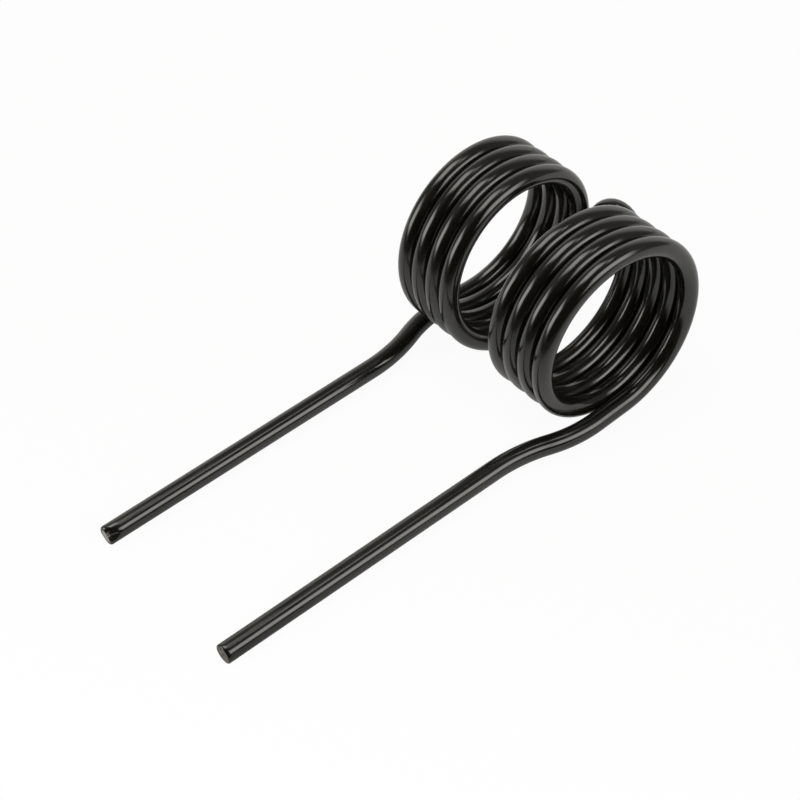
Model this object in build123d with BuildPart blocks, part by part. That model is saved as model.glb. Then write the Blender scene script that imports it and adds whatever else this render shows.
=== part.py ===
"""Baler pick-up tine: one piece of round spring wire, wound into two mirrored coils.

The coil axis lies along Y, through the origin, midway between the coils. The legs point to +X and lie level
with the undersides of the coils. The wire that joins the coils makes a U-shaped bolt loop behind them, at -X.
"""
from math import atan, ceil, cos, degrees, pi, radians, sin
import os

from build123d import *

# Wire
wire_diameter = 5.5

# Coils
coil_bore = 44.5
turn_gap = 0.1
coil_turns = 4.2

# Bolt loop between the coils
bolt_slot_width = 8.6
loop_arm_length = 8.0

# Legs, each with a joggle that sets it inwards
leg_lead_length = 10.0
joggle_angle = 21.0
joggle_near_radius = 38.0
joggle_far_radius = 46.0
leg_reach = 130.0
end_bevel = 0.4

# The wire climbs along the coil axis by one pitch a turn
wire_radius = wire_diameter / 2
coil_radius = (coil_bore + wire_diameter) / 2
coil_pitch = wire_diameter + turn_gap
climb_angle = degrees(atan(coil_pitch / (2 * pi * coil_radius)))

# The leg leaves the coil at its underside, and the loop leaves it all the turns earlier, low at the back
leg_exit_angle = radians(-90)
loop_exit_angle = leg_exit_angle - 2 * pi * coil_turns
loop_exit = Vector(cos(loop_exit_angle), 0, sin(loop_exit_angle))

# The arms of the loop keep the climb of the coils, so they close in a little before its round end
loop_radius = (bolt_slot_width + wire_diameter) / 2
round_end_offset = loop_radius * cos(radians(climb_angle))
coil_offset = round_end_offset + loop_arm_length * sin(radians(climb_angle))

# The centre line of the +Y half of the wire runs from the middle of the loop to the tip of the leg.
# Its coil is made of equal stretches of less than a turn, so that no face of the wire winds round beside itself
stretch_count = ceil(coil_turns)
stretch_turns = coil_turns / stretch_count
coil = []
for number in range(stretch_count):
    stretch_angle = loop_exit_angle + 2 * pi * stretch_turns * number
    stretch_start = Plane(
        origin=(0, coil_offset + coil_pitch * stretch_turns * number, 0),
        x_dir=(cos(stretch_angle), 0, sin(stretch_angle)),
        z_dir=(0, 1, 0),
    )
    coil += (stretch_start * Helix(coil_pitch, coil_pitch * stretch_turns, coil_radius, lefthand=True)).edges()
leg_plane = Plane.XY.offset(-coil_radius)

with BuildPart() as spring_tine:
    loop_plane = Plane(origin=coil[0] @ 0, x_dir=(0, 1, 0), z_dir=loop_exit)
    with BuildLine(loop_plane) as loop_line:
        arm = Line(coil[0] @ 0, coil[0] @ 0 - (coil[0] % 0) * loop_arm_length)
        round_end = JernArc(arm @ 1, arm % 1, loop_radius, climb_angle - 90)

    with BuildLine(leg_plane) as leg_line:
        lead = Line(coil[-1] @ 1, coil[-1] @ 1 + (coil[-1] % 1) * leg_lead_length)
        near_bend = JernArc(lead @ 1, lead % 1, joggle_near_radius, -climb_angle - joggle_angle)
        far_bend = JernArc(near_bend @ 1, near_bend % 1, joggle_far_radius, joggle_angle)
        leg = Line(far_bend @ 1, Vector(leg_reach, (far_bend @ 1).Y, -coil_radius))

    # The -Y half is its mirror image, and one sweep from tip to tip makes the whole wire
    half_path = [*loop_line.edges(), *coil, *leg_line.edges()]
    mirrored_path = [edge.mirror(Plane.XZ) for edge in half_path]
    with BuildSketch(Plane(origin=leg @ 1, z_dir=leg % 1)):
        Circle(wire_radius)
    sweep(path=[*half_path, *mirrored_path])

    # The sheared ends have their edges dulled
    sheared_ends = spring_tine.faces().sort_by(Axis.X)[-2:]
    chamfer(sheared_ends.edges(), end_bevel)

spring_tine.part.label = "spring_tine"
os.makedirs("parts", exist_ok=True)
export_step(spring_tine.part, "parts/spring_tine.step")
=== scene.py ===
"""Baler pick-up tine: one round spring wire in glossy black paint, on a pale studio floor.

The wire is swept along the same centre line as the CAD node and stands in for it, so that its gloss runs
smoothly round every turn. Its two sheared ends get their own torn faces, where the paint is chipped back to
bare steel. All sizes are in metres, in the frame of the CAD model.
"""
from dataclasses import dataclass
from enum import Enum
import logging
import math
from typing import Any, Optional, Union

import bpy
from mathutils import Matrix, Vector
import numpy as np


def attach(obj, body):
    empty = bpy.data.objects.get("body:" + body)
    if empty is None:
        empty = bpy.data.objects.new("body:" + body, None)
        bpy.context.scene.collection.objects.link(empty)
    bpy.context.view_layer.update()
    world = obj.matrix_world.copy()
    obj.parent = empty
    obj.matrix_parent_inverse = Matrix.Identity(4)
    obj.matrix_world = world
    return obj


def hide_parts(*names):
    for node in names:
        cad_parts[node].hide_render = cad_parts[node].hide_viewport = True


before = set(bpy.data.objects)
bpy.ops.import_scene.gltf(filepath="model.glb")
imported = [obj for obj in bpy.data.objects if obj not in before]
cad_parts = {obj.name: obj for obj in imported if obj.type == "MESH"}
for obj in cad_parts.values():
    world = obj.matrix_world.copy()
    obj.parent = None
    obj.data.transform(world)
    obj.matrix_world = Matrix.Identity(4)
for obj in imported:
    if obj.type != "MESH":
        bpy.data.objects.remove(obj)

log = logging.getLogger("spring_tine")

MM = 0.001
Colour = tuple[float, float, float]


class Way(Enum):
    """Which way a bend of the wire turns, seen from the outward side of the wire."""

    LEFT = 1.0
    RIGHT = -1.0


class Value:
    """A number or colour that comes out of a shader node. Arithmetic on it adds Math nodes."""

    def __init__(self, bench: "Bench", socket: bpy.types.NodeSocket) -> None:
        """Keeps the socket and the bench that adds nodes beside it."""
        self.bench = bench
        self.socket = socket

    def _math(self, operation: str, first: Any, second: Any) -> "Value":
        """Adds a Math node that works on two values.

        Args:
            operation: The Math node's operation.
            first: The first value, a Value or a number.
            second: The second value, a Value or a number.

        Returns:
            The result as a Value.
        """
        return self.bench.node("ShaderNodeMath", {"operation": operation}, {0: first, 1: second})

    def __add__(self, other: Any) -> "Value":
        """Sum."""
        return self._math("ADD", self, other)

    def __radd__(self, other: Any) -> "Value":
        """Sum, with the number first."""
        return self._math("ADD", other, self)

    def __sub__(self, other: Any) -> "Value":
        """Difference."""
        return self._math("SUBTRACT", self, other)

    def __rsub__(self, other: Any) -> "Value":
        """Difference, with the number first."""
        return self._math("SUBTRACT", other, self)

    def __mul__(self, other: Any) -> "Value":
        """Product."""
        return self._math("MULTIPLY", self, other)

    def __rmul__(self, other: Any) -> "Value":
        """Product, with the number first."""
        return self._math("MULTIPLY", other, self)

    def highest(self, other: Any) -> "Value":
        """The larger of the two."""
        return self._math("MAXIMUM", self, other)

    def fade(self, low: float, high: float) -> "Value":
        """Goes smoothly from 0 where the value is low to 1 where it is high."""
        # The node's sockets 1 and 2 hold the range it reads, and 3 and 4 what the ends of that become
        ends = {1: low, 2: high, 3: 0.0, 4: 1.0} if low < high else {1: high, 2: low, 3: 1.0, 4: 0.0}
        return self.bench.node("ShaderNodeMapRange", {"interpolation_type": "SMOOTHSTEP"}, {0: self, **ends})


class Bench:
    """Adds nodes to one node tree."""

    def __init__(self, tree: bpy.types.NodeTree) -> None:
        """Clears the tree, so that every node in it is one that was asked for."""
        self.tree = tree
        tree.nodes.clear()

    def node(self, kind: str, settings: Optional[dict[str, Any]] = None,
             inputs: Optional[dict[Union[int, str], Any]] = None, output: Union[int, str] = 0) -> Value:
        """Adds one node.

        Args:
            kind: The node's type.
            settings: Its properties, set before its sockets.
            inputs: A value or a link for each socket, by index or name.
            output: The output that is wanted, by index or name.

        Returns:
            That output as a Value, or the first input where the node has no output.
        """
        made = self.tree.nodes.new(kind)
        for key, setting in (settings or {}).items():
            setattr(made, key, setting)
        for key, value in (inputs or {}).items():
            if isinstance(value, Value):
                self.tree.links.new(value.socket, made.inputs[key])
            elif isinstance(value, tuple) and len(value) == 3 and made.inputs[key].type == "RGBA":
                made.inputs[key].default_value = (*value, 1.0)
            else:
                made.inputs[key].default_value = value
        return Value(self, made.outputs[output] if made.outputs else made.inputs[0])

    def mix(self, share: Any, first: Any, second: Any) -> Value:
        """Mixes two colours: the first where share is 0, the second where it is 1."""
        # The node's sockets 6 and 7 and its output 2 are the ones for colours
        return self.node("ShaderNodeMix", {"data_type": "RGBA"}, {0: share, 6: first, 7: second}, 2)

    def dot(self, first: Any, second: Any) -> Value:
        """How far the first vector goes along the second."""
        return self.node("ShaderNodeVectorMath", {"operation": "DOT_PRODUCT"}, {0: first, 1: second}, "Value")

    def noise(self, place: Value, size: float, detail: float, roughness: float = 0.5) -> Value:
        """Noise from 0 to 1 whose blotches are about the given size in metres."""
        inputs = {"Vector": place, "Scale": 1.0 / size, "Detail": detail, "Roughness": roughness}
        return self.node("ShaderNodeTexNoise", {}, inputs, "Fac")

    def attribute(self, name: str) -> Value:
        """A number that the mesh keeps at its points."""
        return self.node("ShaderNodeAttribute", {"attribute_name": name}, {}, "Fac")


@dataclass(frozen=True)
class BlackPaint:
    """Dipped black gloss paint on spring steel, chipped back to the steel where the wire was sheared."""

    black: Colour = (0.0076, 0.0073, 0.0054)
    dusty_black: Colour = (0.0124, 0.0115, 0.0088)
    bright_steel: Colour = (0.53, 0.51, 0.47)
    dull_steel: Colour = (0.27, 0.255, 0.235)
    rust_brown: Colour = (0.165, 0.120, 0.090)
    gloss_index: float = 1.625
    gloss_roughness: float = 0.10
    dull_roughness: float = 0.18
    steel_roughness: float = 0.36
    rust_roughness: float = 0.61
    steel_metal: float = 0.9
    peel_size: float = 1.5 * MM
    peel_detail: float = 1.0
    peel_depth: float = 0.0045 * MM
    mark_size: float = 0.30 * MM
    mark_detail: float = 2.0
    mark_depth: float = 0.0008 * MM
    mark_stretch: float = 14.0
    blotch_size: float = 9 * MM
    blotch_detail: float = 3.0
    chip_size: float = 0.7 * MM
    stain_size: float = 1.4 * MM
    chip_detail: float = 3.0
    chip_graininess: float = 0.6
    paint_thickness: float = 0.03 * MM
    tear_depth: float = 0.05 * MM
    chip_unevenness: float = 0.5
    chip_limits: tuple[float, float] = (0.46, 0.56)
    dust_limits: tuple[float, float] = (0.42, 0.68)
    dull_limits: tuple[float, float] = (0.30, 0.72)
    rust_limits: tuple[float, float] = (0.58, 0.78)
    dull_from_marks: float = 0.4
    rust_from_tarnish: float = 0.35

    def make(self) -> bpy.types.Material:
        """Builds the material.

        Returns:
            The material. It reads Object coordinates and what the wire's mesh keeps at its points: "bare",
            "tarnish" and "torn", and "unwound", the place on the wire as if it were pulled straight.
        """
        material = bpy.data.materials.new("black_paint_worn")
        material.use_nodes = True
        bench = Bench(material.node_tree)
        place = bench.node("ShaderNodeTexCoord", {}, {}, "Object")
        unwound = bench.node("ShaderNodeAttribute", {"attribute_name": "unwound"}, {}, "Vector")
        drawn = bench.node("ShaderNodeVectorMath", {"operation": "MULTIPLY"},
                           {0: unwound, 1: (1.0, 1.0, 1.0 / self.mark_stretch)})

        blotch = bench.noise(place, self.blotch_size, self.blotch_detail)
        peel = bench.noise(place, self.peel_size, self.peel_detail)
        marks = bench.noise(drawn, self.mark_size, self.mark_detail)
        chip = bench.noise(place, self.chip_size, self.chip_detail, self.chip_graininess)
        stain = bench.noise(place, self.stain_size, self.chip_detail, self.chip_graininess)

        # The paint is chipped where the likelihood kept at the points beats the noise
        likely = bench.attribute("bare") + (chip - 0.5) * self.chip_unevenness
        bare = likely.fade(*self.chip_limits)
        paint_colour = bench.mix(blotch.fade(*self.dust_limits), self.black, self.dusty_black)
        tarnish = bench.attribute("tarnish")
        steel_colour = bench.mix(tarnish, self.bright_steel, self.dull_steel)
        rust = tarnish * self.rust_from_tarnish + stain * (1 - self.rust_from_tarnish)
        rust = rust.fade(*self.rust_limits)
        colour = bench.mix(bare, paint_colour, bench.mix(rust, steel_colour, self.rust_brown))

        dull = blotch * (1 - self.dull_from_marks) + marks * self.dull_from_marks
        dull = dull.fade(*self.dull_limits)
        paint_roughness = self.gloss_roughness + dull * (self.dull_roughness - self.gloss_roughness)
        steel_roughness = self.steel_roughness + rust * (self.rust_roughness - self.steel_roughness)
        roughness = paint_roughness * (1 - bare) + bare * steel_roughness

        tear = bench.attribute("torn") * bare * chip
        height = (peel * self.peel_depth + marks * self.mark_depth + tear * self.tear_depth
                  - bare * self.paint_thickness)
        inputs = {"Strength": 1.0, "Distance": 1.0, "Height": height}
        bump = bench.node("ShaderNodeBump", {}, inputs, "Normal")

        surface = bench.node("ShaderNodeBsdfPrincipled", {}, {
            "Base Color": colour, "Roughness": roughness, "Metallic": bare * self.steel_metal,
            "IOR": self.gloss_index, "Normal": bump,
        })
        bench.node("ShaderNodeOutputMaterial", {}, {"Surface": surface})
        return material


@dataclass
class Stretch:
    """A stretch of the wire's centre line: points, and directions forward and outward, each (n, 3)."""

    points: np.ndarray
    forward: np.ndarray
    outward: np.ndarray

    def backwards(self) -> "Stretch":
        """The same stretch, run from its other end."""
        return Stretch(self.points[::-1], -self.forward[::-1], self.outward[::-1])

    def mirrored(self) -> "Stretch":
        """The same stretch on the other side of the middle plane, Y = 0."""
        flip = np.array([1.0, -1.0, 1.0])
        return Stretch(self.points * flip, self.forward * flip, self.outward * flip)

    @staticmethod
    def joined(stretches: list["Stretch"]) -> "Stretch":
        """Puts stretches end to end, where each begins at the last point of the one before.

        Args:
            stretches: The stretches, in order.

        Returns:
            One stretch, with each shared point kept once.
        """
        first, rest = stretches[0], stretches[1:]
        return Stretch(*(
            np.concatenate([getattr(first, part), *(getattr(s, part)[1:] for s in rest)])
            for part in ("points", "forward", "outward")
        ))


@dataclass(frozen=True)
class ShearedEnd:
    """One end of the wire, as the shear left it. Angles go round the wire, in radians, from its outward side.

    Width is how far an edge comes in over the face, and reach how far it goes back along the wire. Each of
    the waves has its number of crests round the wire, its phase and its share.
    """

    edge_width: float
    edge_reach: float
    back_width: float
    lip_width: float
    lip_reach: float
    lip_angle: float
    lip_spread: float
    lip_flatness: float
    # Share of the face's rim, away from the lip, that is black paint instead of steel
    black_on_face_rim: float
    face_tarnish: float
    chipped_edge: float
    unevenness: float = 0.12
    waves: tuple[tuple[int, float, float], ...] = ((3, 1.0, 1.0), (5, 4.0, 0.6), (9, 0.0, 0.4))
    step_depth: float = 0.10 * MM
    step_place: float = 0.1
    step_steepness: float = 8.0
    ripple_depth: float = 0.03 * MM
    ripple_crests: int = 4
    ripple_phase: float = 2.0
    rim_start: float = 0.70
    rim_fade: float = 0.10
    chip_end: float = 0.489
    chip_fade: float = 0.222
    lip_tarnish: float = 0.9
    edge_tear: float = 0.5
    face_rings: int = 12
    edge_rings: int = 14

    def lip(self, angle: np.ndarray) -> np.ndarray:
        """How much of the rolled lip there is at an angle: exp(-(angle from the lip / spread) squared)."""
        off = np.angle(np.exp(1j * (angle - self.lip_angle)))
        return np.exp(-(off / self.lip_spread) ** 2)

    def rings(self, wire_radius: float, angle: np.ndarray) -> dict[str, np.ndarray]:
        """The face and the rounded edge, as rings from the middle out.

        The edge is a quarter of an ellipse, which flattens towards its chord at the lip. Its width and reach
        go from those of the plain edge to those of the lip, with a width of its own opposite the lip, and
        waver by the sum of the waves. The face dips by a shallow step, tanh of the distance towards the
        lip, which fades out at the edge. Away from the lip, the face's rim is black gloss paint, not steel.

        Args:
            wire_radius: The radius of the wire.
            angle: The angle of each point of a ring.

        Returns:
            "radius", "inset" behind the end plane, "bare", "tarnish" and "torn", each as (rings, round).
        """
        lip, back = self.lip(angle), self.lip(angle + math.pi)
        wave = sum(share * np.sin(crests * angle + phase) for crests, phase, share in self.waves)
        waver = 1 + self.unevenness * wave
        width = self.edge_width + (self.lip_width - self.edge_width) * lip
        width = (width + (self.back_width - self.edge_width) * back) * waver
        reach = self.edge_reach + (self.lip_reach - self.edge_reach) * lip
        reach = (reach + self.back_width * back) * waver
        face_radius = wire_radius - width

        share = np.linspace(0.0, 1.0, self.face_rings + 1)[1:, None]
        across = share * face_radius * np.cos(angle - self.lip_angle) / wire_radius
        step = self.step_depth * (0.5 + 0.5 * np.tanh(self.step_steepness * (across - self.step_place)))
        ripple = self.ripple_depth * share * np.sin(self.ripple_crests * angle + self.ripple_phase)
        face_inset = np.maximum((step + ripple) * (1 - share ** 4), 0.0)

        turned = np.linspace(0.0, math.pi / 2, self.edge_rings + 1)[1:, None]
        flat = self.lip_flatness * lip
        straight = turned / (math.pi / 2)
        on_edge = (1 - flat) * np.sin(turned) + flat * straight
        edge_inset = reach * ((1 - flat) * (1 - np.cos(turned)) + flat * straight)

        rim = np.clip((share - self.rim_start) / self.rim_fade, 0.0, 1.0)
        # Away from the lip the outer rings of the face take the black paint instead of steel, a dark line
        # round the face
        black_on_face = self.black_on_face_rim * (1 - lip) * rim
        chipped = np.clip((self.chip_end - on_edge) / self.chip_fade, 0.0, 1.0) * lip ** 3
        edge_bare = np.maximum(self.chipped_edge * (1 - on_edge) * (1 - lip), chipped)
        tarnish = np.concatenate([0.0 * black_on_face, self.lip_tarnish * lip + 0.0 * on_edge])
        return {
            "radius": np.concatenate([share * face_radius, face_radius + width * on_edge]),
            "inset": np.concatenate([face_inset, edge_inset]),
            "bare": np.concatenate([1 - black_on_face, edge_bare]),
            "tarnish": np.maximum(self.face_tarnish, tarnish),
            "torn": np.concatenate([1 - black_on_face, self.edge_tear * (1 - on_edge)]),
        }


@dataclass
class SpringWire:
    """The whole tine: legs, coils and bolt loop, as one round wire swept from tip to tip."""

    wire_diameter: float = 5.5 * MM
    coil_bore: float = 44.5 * MM
    turn_gap: float = 0.1 * MM
    coil_turns: float = 4.2
    bolt_slot_width: float = 8.6 * MM
    loop_arm_length: float = 8.0 * MM
    leg_lead_length: float = 10.0 * MM
    joggle_angle: float = math.radians(21)
    joggle_near_radius: float = 38.0 * MM
    joggle_far_radius: float = 46.0 * MM
    leg_reach: float = 130.0 * MM
    ring_step: float = 1.4 * MM
    points_round: int = 56
    ring_clearance: float = 0.2 * MM
    far_end: ShearedEnd = ShearedEnd(
        edge_width=0.36 * MM, edge_reach=0.45 * MM, back_width=0.85 * MM,
        lip_width=2.1 * MM, lip_reach=2.7 * MM, lip_angle=math.radians(226), lip_spread=0.95,
        lip_flatness=0.85, black_on_face_rim=1.0, face_tarnish=0.05, chipped_edge=0.10,
    )
    near_end: ShearedEnd = ShearedEnd(
        edge_width=0.24 * MM, edge_reach=0.20 * MM, back_width=0.24 * MM,
        lip_width=0.60 * MM, lip_reach=0.95 * MM, lip_angle=math.radians(142), lip_spread=1.1,
        lip_flatness=0.3, black_on_face_rim=0.0, face_tarnish=0.95, chipped_edge=0.35,
    )

    @property
    def wire_radius(self) -> float:
        """Half the wire's diameter."""
        return self.wire_diameter / 2

    @property
    def coil_radius(self) -> float:
        """Radius of the coil at the wire's centre line."""
        return (self.coil_bore + self.wire_diameter) / 2

    @property
    def coil_pitch(self) -> float:
        """How far the wire climbs along the coil axis in one turn."""
        return self.wire_diameter + self.turn_gap

    @property
    def climb(self) -> float:
        """Angle at which the wire climbs along the coil axis."""
        return math.atan(self.coil_pitch / (2 * math.pi * self.coil_radius))

    def _count(self, length: float) -> int:
        """Number of points for a stretch of that length."""
        return max(3, int(round(length / self.ring_step)) + 1)

    def _straight(self, start: np.ndarray, forward: np.ndarray, outward: np.ndarray,
                  length: float) -> Stretch:
        """A straight run: start plus distance times the forward direction.

        Args:
            start: The first point.
            forward: The direction of the wire.
            outward: A direction square to it, which stays the same.
            length: The length of the run.

        Returns:
            The stretch.
        """
        distance = np.linspace(0.0, length, self._count(length))[:, None]
        same = np.ones_like(distance)
        return Stretch(start + distance * forward, same * forward, same * outward)

    def _bend(self, start: np.ndarray, forward: np.ndarray, outward: np.ndarray, radius: float,
              angle: float, way: Way) -> Stretch:
        """A round bend about the outward direction.

        With side as the direction the bend turns to, a point is start + radius * (sin(turned) * forward +
        (1 - cos(turned)) * side), and the direction there is cos(turned) * forward + sin(turned) * side.

        Args:
            start: The first point.
            forward: The direction of the wire there.
            outward: The axis that the bend turns about.
            radius: The radius of the bend at the centre line.
            angle: How far the wire turns, in radians.
            way: Which way it turns.

        Returns:
            The stretch.
        """
        side = way.value * np.cross(outward, forward)
        turned = np.linspace(0.0, angle, self._count(radius * angle))[:, None]
        points = start + radius * (np.sin(turned) * forward + (1 - np.cos(turned)) * side)
        ahead = np.cos(turned) * forward + np.sin(turned) * side
        return Stretch(points, ahead, np.ones_like(turned) * outward)

    def _coil(self, side_offset: float) -> Stretch:
        """The helix of the +Y coil: a circle about the Y axis whose Y grows by one pitch a turn.

        Args:
            side_offset: Y of its first point, beside the bolt loop.

        Returns:
            The stretch, from the loop to the leg, which leaves at the underside.
        """
        last = -math.pi / 2
        first = last - 2 * math.pi * self.coil_turns
        length = self.coil_turns * 2 * math.pi * self.coil_radius / math.cos(self.climb)
        angle = np.linspace(first, last, self._count(length))
        out = np.stack([np.cos(angle), np.zeros_like(angle), np.sin(angle)], 1)
        along = np.stack([-np.sin(angle), np.zeros_like(angle), np.cos(angle)], 1)
        y = side_offset + self.coil_pitch * (angle - first) / (2 * math.pi)
        points = self.coil_radius * out + y[:, None] * np.array([0.0, 1.0, 0.0])
        forward = math.cos(self.climb) * along + math.sin(self.climb) * np.array([0.0, 1.0, 0.0])
        return Stretch(points, forward, out)

    def centre_line(self) -> Stretch:
        """The whole centre line, from the -Y tip through the bolt loop to the +Y tip.

        Returns:
            The line as one stretch.
        """
        loop_radius = (self.bolt_slot_width + self.wire_diameter) / 2
        side_offset = loop_radius * math.cos(self.climb) + self.loop_arm_length * math.sin(self.climb)
        coil = self._coil(side_offset)

        arm = self._straight(coil.points[0], -coil.forward[0], coil.outward[0], self.loop_arm_length)
        round_end = self._bend(arm.points[-1], arm.forward[-1], arm.outward[-1], loop_radius,
                               math.pi / 2 - self.climb, Way.RIGHT)

        lead = self._straight(coil.points[-1], coil.forward[-1], coil.outward[-1], self.leg_lead_length)
        near = self._bend(lead.points[-1], lead.forward[-1], lead.outward[-1], self.joggle_near_radius,
                          self.climb + self.joggle_angle, Way.LEFT)
        far = self._bend(near.points[-1], near.forward[-1], near.outward[-1], self.joggle_far_radius,
                         self.joggle_angle, Way.RIGHT)
        leg = self._straight(far.points[-1], far.forward[-1], far.outward[-1],
                             self.leg_reach - far.points[-1][0])
        loop = Stretch.joined([arm, round_end]).backwards()
        half = Stretch.joined([loop, coil, lead, near, far, leg])
        return Stretch.joined([half.mirrored().backwards(), half])

    def _end_rings(self, line: Stretch, last: int, shape: ShearedEnd,
                   angle: np.ndarray) -> dict[str, np.ndarray]:
        """The points of one sheared end: tip + inset * inward + radius * (cos * outward + sin * sideways).

        Args:
            line: The centre line.
            last: The number of its point at this end, 0 or -1.
            shape: How the shear left the end.
            angle: The angle of each point of a ring.

        Returns:
            "points" as (rings, round, 3), and what ShearedEnd.rings gives.
        """
        inward = line.forward[last] * (1.0 if last == 0 else -1.0)
        outward = line.outward[last]
        sideways = np.cross(line.forward[last], outward)
        rings = shape.rings(self.wire_radius, angle)
        radius, inset = rings["radius"][..., None], rings["inset"][..., None]
        around = np.cos(angle)[:, None] * outward + np.sin(angle)[:, None] * sideways
        rings["points"] = line.points[last] + inset * inward + radius * around
        return rings

    def mesh(self) -> bpy.types.Mesh:
        """Sweeps the wire: each ring is centre + radius * (cos(angle) * outward + sin(angle) * sideways).

        Returns:
            The closed mesh, with the state of its paint and steel kept at its points.
        """
        line = self.centre_line()
        step = np.linalg.norm(np.diff(line.points, axis=0), axis=1)
        distance = np.concatenate([[0.0], np.cumsum(step)])
        length = distance[-1]
        angle = np.linspace(0.0, 2 * math.pi, self.points_round, endpoint=False)
        start = self._end_rings(line, 0, self.far_end, angle)
        end = self._end_rings(line, -1, self.near_end, angle)

        # The plain rings begin behind the deepest point of each end
        first = start["inset"].max() + self.ring_clearance
        last = length - end["inset"].max() - self.ring_clearance
        keep = (distance > first) & (distance < last)
        sideways = np.cross(line.forward, line.outward)[keep, None, :]
        around = np.cos(angle)[:, None] * line.outward[keep, None, :] + np.sin(angle)[:, None] * sideways
        plain = np.zeros((int(keep.sum()), self.points_round))
        wire = {
            "points": line.points[keep, None, :] + self.wire_radius * around,
            "radius": plain + self.wire_radius,
            "inset": plain, "bare": plain, "tarnish": plain, "torn": plain,
        }
        grid = {key: np.concatenate([start[key], wire[key], end[key][::-1]]) for key in wire}
        along = np.concatenate([start["inset"], plain + distance[keep, None], length - end["inset"][::-1]])
        radius = grid["radius"]
        grid["unwound"] = np.stack([radius * np.cos(angle), radius * np.sin(angle), along], -1)
        return self._closed_mesh(grid)

    def _closed_mesh(self, grid: dict[str, np.ndarray]) -> bpy.types.Mesh:
        """Puts rings of points into a mesh, with a pole in the middle of each end.

        Args:
            grid: The points and what is kept at each, as (rings, round) or (rings, round, 3).

        Returns:
            The mesh.
        """
        count, around = grid["points"].shape[:2]
        flat = {key: values.reshape(count * around, -1) for key, values in grid.items()}
        flat = {
            key: np.concatenate([values, values[:around].mean(0)[None], values[-around:].mean(0)[None]])
            for key, values in flat.items()
        }
        index = np.arange(count * around).reshape(count, around)
        ahead = np.roll(index, -1, axis=1)
        quads = np.stack([index[:-1], ahead[:-1], ahead[1:], index[1:]], -1).reshape(-1, 4)
        first, last = count * around, count * around + 1
        start_fan = np.stack([np.full(around, first), ahead[0], index[0]], 1)
        end_fan = np.stack([np.full(around, last), index[-1], ahead[-1]], 1)

        mesh = bpy.data.meshes.new("spring_wire")
        faces = [*quads.tolist(), *start_fan.tolist(), *end_fan.tolist()]
        mesh.from_pydata(flat["points"].tolist(), [], faces)
        mesh.polygons.foreach_set("use_smooth", np.ones(len(mesh.polygons), bool))
        for name in ("bare", "tarnish", "torn"):
            kept = mesh.attributes.new(name, "FLOAT", "POINT")
            kept.data.foreach_set("value", flat[name].ravel().astype(np.float32))
        kept = mesh.attributes.new("unwound", "FLOAT_VECTOR", "POINT")
        kept.data.foreach_set("vector", flat["unwound"].ravel().astype(np.float32))
        mesh.update()
        return mesh

    def build(self, paint: bpy.types.Material) -> bpy.types.Object:
        """Makes the piece, dresses it and sets it in the place of the CAD node.

        Args:
            paint: The finish of the wire.

        Returns:
            The piece.
        """
        piece = bpy.data.objects.new("spring_wire", self.mesh())
        piece.data.materials.append(paint)
        bpy.context.scene.collection.objects.link(piece)
        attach(piece, "root")
        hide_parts("spring_tine")
        return piece


def round_about(azimuth: float, height: float) -> tuple[float, float, float]:
    """The direction at an angle round from +X towards +Y and an angle up from level.

    Args:
        azimuth: The angle round, in degrees.
        height: The angle up, in degrees.

    Returns:
        The direction, of length 1.
    """
    a, h = math.radians(azimuth), math.radians(height)
    return math.cos(a) * math.cos(h), math.sin(a) * math.cos(h), math.sin(h)


@dataclass(frozen=True)
class SoftBox:
    """One rectangular studio lamp that faces the tine, and fades out towards its edges."""

    name: str
    towards: tuple[float, float, float]
    distance: float
    width: float
    height: float
    brightness: float
    colour: Colour = (1.0, 0.98, 0.93)
    turn: float = 0.0
    fading: tuple[float, ...] = (1.2, 1.0, 0.8)
    pane_step: float = 0.02

    def hang(self, aim: Vector) -> list[bpy.types.Object]:
        """Hangs the lamp as panes of its size times each share in fading, one behind another.

        Args:
            aim: The point that it faces.

        Returns:
            The panes. Together they are as bright as the lamp's brightness in the middle.
        """
        return [self._pane(aim, share, self.distance + number * self.pane_step)
                for number, share in enumerate(self.fading)]

    def _pane(self, aim: Vector, share: float, distance: float) -> bpy.types.Object:
        """Hangs one pane.

        Args:
            aim: The point that it faces.
            share: Its size, as a share of the lamp's.
            distance: Its distance from that point.

        Returns:
            The pane. Its power is pi * area * brightness, so that its face is that bright, where 1 is white.
        """
        data = bpy.data.lights.new(self.name, "AREA")
        data.shape = "RECTANGLE"
        data.size = self.width * share
        data.size_y = self.height * share
        data.energy = math.pi * data.size * data.size_y * self.brightness / len(self.fading)
        data.color = self.colour
        lamp = bpy.data.objects.new(self.name, data)
        back = Vector(self.towards).normalized()
        lamp.location = aim + back * distance
        facing = back.to_track_quat("Z", "Y").to_matrix().to_4x4()
        lamp.matrix_world = Matrix.Translation(lamp.location) @ facing @ Matrix.Rotation(self.turn, 4, "Z")
        lamp.visible_camera = False
        bpy.context.scene.collection.objects.link(lamp)
        return lamp


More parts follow.
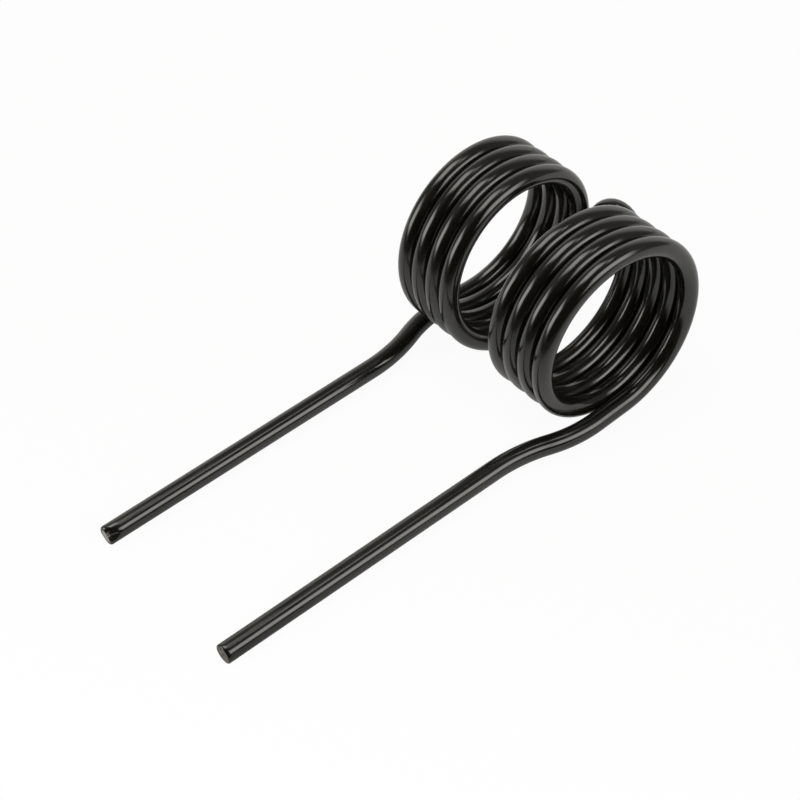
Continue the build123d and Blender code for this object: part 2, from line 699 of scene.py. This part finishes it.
@dataclass
class Studio:
    """The pale floor, the room round it and the lamps."""

    lamp_aim: tuple[float, float, float] = (0.02, 0.0, 0.0)
    floor_level: float = -27.75 * MM
    floor_radius: float = 4.0
    paper_white: Colour = (0.84, 0.84, 0.84)
    # Dark grey that the paper fades to in front of the tine, for every ray but the camera's
    dark_ahead_grey: Colour = (0.10, 0.10, 0.10)
    dark_ahead_side: float = 30.0
    dark_ahead_limits: tuple[float, float] = (0.034, 0.221)
    own_white: float = 0.95
    mirrored_white: float = 0.30
    room_radius: float = 3.2
    wall_grey: float = 0.20
    ceiling_grey: float = 0.16
    sweep_white: float = 0.90
    wall_tint: Colour = (1.0, 0.985, 0.94)
    ceiling_limits: tuple[float, float] = (0.85, 0.45)
    camera_side: tuple[float, float, float] = round_about(50.0, 22.0)
    camera_limits: tuple[float, float] = (0.80, 0.45)
    sweep_side: tuple[float, float, float] = round_about(-138.0, 0.0)
    sweep_limits: tuple[float, float] = (0.56, 0.80)
    sweep_rise: tuple[float, float] = (0.84, 0.28)
    points_round: int = 96
    floor_rings: int = 24
    floor_start: float = 0.02
    wall_rings: int = 32
    wall_rise: tuple[float, float] = (-0.01, math.pi / 2 - 0.02)

    def floor(self) -> bpy.types.Object:
        """A round floor: rings of points whose radius grows with the square of the ring's number.

        Returns:
            The floor.
        """
        around, rings = self.points_round, self.floor_rings
        angle = np.linspace(0.0, 2 * math.pi, around, endpoint=False)[None, :]
        radius = self.floor_radius * (np.linspace(self.floor_start, 1.0, rings) ** 2)[:, None]
        grid = np.stack([radius * np.cos(angle), radius * np.sin(angle),
                         np.full((rings, around), self.floor_level)], -1)
        index = np.arange(rings * around).reshape(rings, around)
        ahead = np.roll(index, -1, axis=1)
        quads = np.stack([index[:-1], index[1:], ahead[1:], ahead[:-1]], -1).reshape(-1, 4)
        return self._set_up("studio_floor", grid, [*quads.tolist(), index[0].tolist()], self._floor_paper())

    def walls(self) -> bpy.types.Object:
        """The walls and ceiling as half a ball: angle round it by angle up from the floor, at one radius.

        Returns:
            The walls. The camera looks through them, and the paint mirrors them.
        """
        around, rings = self.points_round, self.wall_rings
        angle = np.linspace(0.0, 2 * math.pi, around, endpoint=False)[None, :]
        rise = np.linspace(*self.wall_rise, rings)[:, None]
        grid = self.room_radius * np.stack([np.cos(rise) * np.cos(angle), np.cos(rise) * np.sin(angle),
                                            np.sin(rise) * np.ones_like(angle)], -1)
        index = np.arange(rings * around).reshape(rings, around)
        ahead = np.roll(index, -1, axis=1)
        quads = np.stack([index[:-1], index[1:], ahead[1:], ahead[:-1]], -1).reshape(-1, 4)
        walls = self._set_up("studio_walls", grid, [*quads.tolist(), index[-1].tolist()], self._wall_paint())
        walls.visible_camera = False
        return walls

    @staticmethod
    def _set_up(name: str, grid: np.ndarray, faces: list[list[int]],
                material: bpy.types.Material) -> bpy.types.Object:
        """Makes one piece of the studio.

        Args:
            name: Its name.
            grid: Its points, as (rings, round, 3).
            faces: Its faces.
            material: Its finish.

        Returns:
            The piece.
        """
        mesh = bpy.data.meshes.new(name)
        mesh.from_pydata(grid.reshape(-1, 3).tolist(), [], faces)
        piece = bpy.data.objects.new(name, mesh)
        piece.data.materials.append(material)
        bpy.context.scene.collection.objects.link(piece)
        return piece

    def _floor_paper(self) -> bpy.types.Material:
        """White paper that keeps the shadow of the tine, and shows to the camera mostly in its own white.

        The gloss of the tine mirrors that white too, by a smaller share. The camera sees the paper white all
        round, but to every other ray it fades to dark grey a little way in front of the tine, so the gloss
        mirrors dark there.

        Returns:
            The material.
        """
        material = bpy.data.materials.new("studio_paper")
        material.use_nodes = True
        bench = Bench(material.node_tree)
        place = bench.node("ShaderNodeTexCoord", {}, {}, "Object")
        # The paper fades to dark grey in front of the tine for every ray but the camera's, so the gloss
        # mirrors dark there
        dark_ahead = bench.dot(place, round_about(self.dark_ahead_side, 0.0)).fade(*self.dark_ahead_limits)
        seen = bench.node("ShaderNodeLightPath", {}, {}, "Is Camera Ray")
        colour = bench.mix(dark_ahead * (1 - seen), self.paper_white, self.dark_ahead_grey)
        paper = bench.node("ShaderNodeBsdfDiffuse", {}, {"Color": colour})
        white = bench.node("ShaderNodeEmission", {}, {"Color": (1.0, 1.0, 1.0), "Strength": 1.0})
        mirrored = bench.node("ShaderNodeLightPath", {}, {}, "Is Glossy Ray")
        share = seen * (self.own_white + dark_ahead * (1 - self.own_white))
        share = share + mirrored * (1 - dark_ahead) * self.mirrored_white
        mixed = bench.node("ShaderNodeMixShader", {}, {0: share, 1: paper, 2: white})
        bench.node("ShaderNodeOutputMaterial", {}, {"Surface": mixed})
        return material

    def _wall_paint(self) -> bpy.types.Material:
        """Grey walls, dark on the camera's side, with the white sweep rising at the back.

        The grey fades to that of the ceiling with height. The sweep fades out to both sides of its direction,
        and up the wall. Each limit is the sine of a height, or the cosine of the angle from a direction.

        Returns:
            The material. It glows as brightly as a wall of its grey would in this light.
        """
        material = bpy.data.materials.new("studio_wall_grey")
        material.use_nodes = True
        bench = Bench(material.node_tree)
        place = bench.node("ShaderNodeTexCoord", {}, {}, "Object")
        way = bench.node("ShaderNodeVectorMath", {"operation": "NORMALIZE"}, {0: place})
        height = bench.dot(way, (0.0, 0.0, 1.0))
        low = height.fade(*self.ceiling_limits)
        grey = self.ceiling_grey + low * (self.wall_grey - self.ceiling_grey)
        grey = grey * bench.dot(way, self.camera_side).fade(*self.camera_limits)
        sweep = bench.dot(way, self.sweep_side).fade(*self.sweep_limits) * height.fade(*self.sweep_rise)
        grey = grey + sweep * (self.sweep_white - self.wall_grey)
        glow = bench.node("ShaderNodeEmission", {}, {"Color": self.wall_tint, "Strength": grey})
        bench.node("ShaderNodeOutputMaterial", {}, {"Surface": glow})
        return material

    def room(self) -> None:
        """The backdrop: white where the camera sees it, straight, mirrored or through glass."""
        world = bpy.data.worlds.new("studio_room")
        bpy.context.scene.world = world
        world.use_nodes = True
        bench = Bench(world.node_tree)
        seen = bench.node("ShaderNodeLightPath", {}, {}, "Is Camera Ray")
        mirrored = bench.node("ShaderNodeLightPath", {}, {}, "Is Glossy Ray")
        through = bench.node("ShaderNodeLightPath", {}, {}, "Is Transmission Ray")
        white = seen.highest(mirrored).highest(through)
        strength = self.wall_grey + white * (1.0 - self.wall_grey)
        back = bench.node("ShaderNodeBackground", {}, {"Color": (1.0, 1.0, 1.0), "Strength": strength})
        bench.node("ShaderNodeOutputWorld", {}, {"Surface": back})

    def lamps(self) -> list[bpy.types.Object]:
        """Hangs the lamps.

        Returns:
            The panes of all the lamps.
        """
        aim = Vector(self.lamp_aim)
        boxes = [
            SoftBox("left_box", round_about(-30.0, 24.0), distance=1.5, width=0.82, height=0.80,
                    brightness=3.9),
            SoftBox("right_box", round_about(108.0, 29.5), distance=1.5, width=1.12, height=0.80,
                    brightness=3.8, turn=math.radians(-18)),
            SoftBox("top_box", round_about(-78.0, 73.0), distance=1.6, width=0.84, height=1.00,
                    brightness=3.5),
            SoftBox("ceiling_strip", round_about(154.0, 71.0), distance=1.6, width=0.34, height=0.18,
                    brightness=2.8),
        ]
        return [pane for box in boxes for pane in box.hang(aim)]


@dataclass(frozen=True)
class Viewpoint:
    """Where the camera stood: angles in degrees, lengths in metres, focal length in pixels, sensor in mm."""

    azimuth: float = 143.9756
    elevation: float = 45.8804
    roll: float = -5.2232
    distance: float = 540.81 * MM
    aim_right: float = 38.5276 * MM
    aim_up: float = 32.9165 * MM
    focal_pixels: float = 2014.5
    image_width: int = 800
    sensor: float = 36.0
    clip_start: float = 10 * MM

    def camera(self) -> bpy.types.Object:
        """Sets up the camera.

        Returns:
            The camera, which is the scene's.
        """
        a, e, r = (math.radians(x) for x in (self.azimuth, self.elevation, self.roll))
        back = Vector((math.sin(a) * math.cos(e), -math.cos(a) * math.cos(e), math.sin(e)))
        level = Vector((math.cos(a), math.sin(a), 0.0))
        steep = back.cross(level)
        right = level * math.cos(r) + steep * math.sin(r)
        up = steep * math.cos(r) - level * math.sin(r)
        data = bpy.data.cameras.new("photo_camera")
        data.sensor_width = self.sensor
        data.lens = self.focal_pixels * self.sensor / self.image_width
        data.clip_start = self.clip_start
        camera = bpy.data.objects.new("photo_camera", data)
        turned = Matrix((right, up, back)).transposed().to_4x4()
        eye = back * self.distance - right * self.aim_right - up * self.aim_up
        camera.matrix_world = Matrix.Translation(eye) @ turned
        bpy.context.scene.collection.objects.link(camera)
        bpy.context.scene.camera = camera
        return camera


def main() -> None:
    """Builds the tine, the studio and the camera, and reports each."""
    logging.basicConfig(level=logging.INFO, format="%(name)s: %(message)s")
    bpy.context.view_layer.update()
    bpy.context.scene.view_settings.view_transform = "Standard"

    wire = SpringWire().build(BlackPaint().make())
    log.info("%s: %d faces", wire.name, len(wire.data.polygons))

    studio = Studio()
    studio.room()
    floor, walls = studio.floor(), studio.walls()
    lamps = studio.lamps()
    log.info("%s, %s and %d lamps", floor.name, walls.name, len(lamps))

    camera = Viewpoint().camera()
    log.info("%s: lens %.2f mm", camera.name, camera.data.lens)


if __name__ == "__main__":
    main()
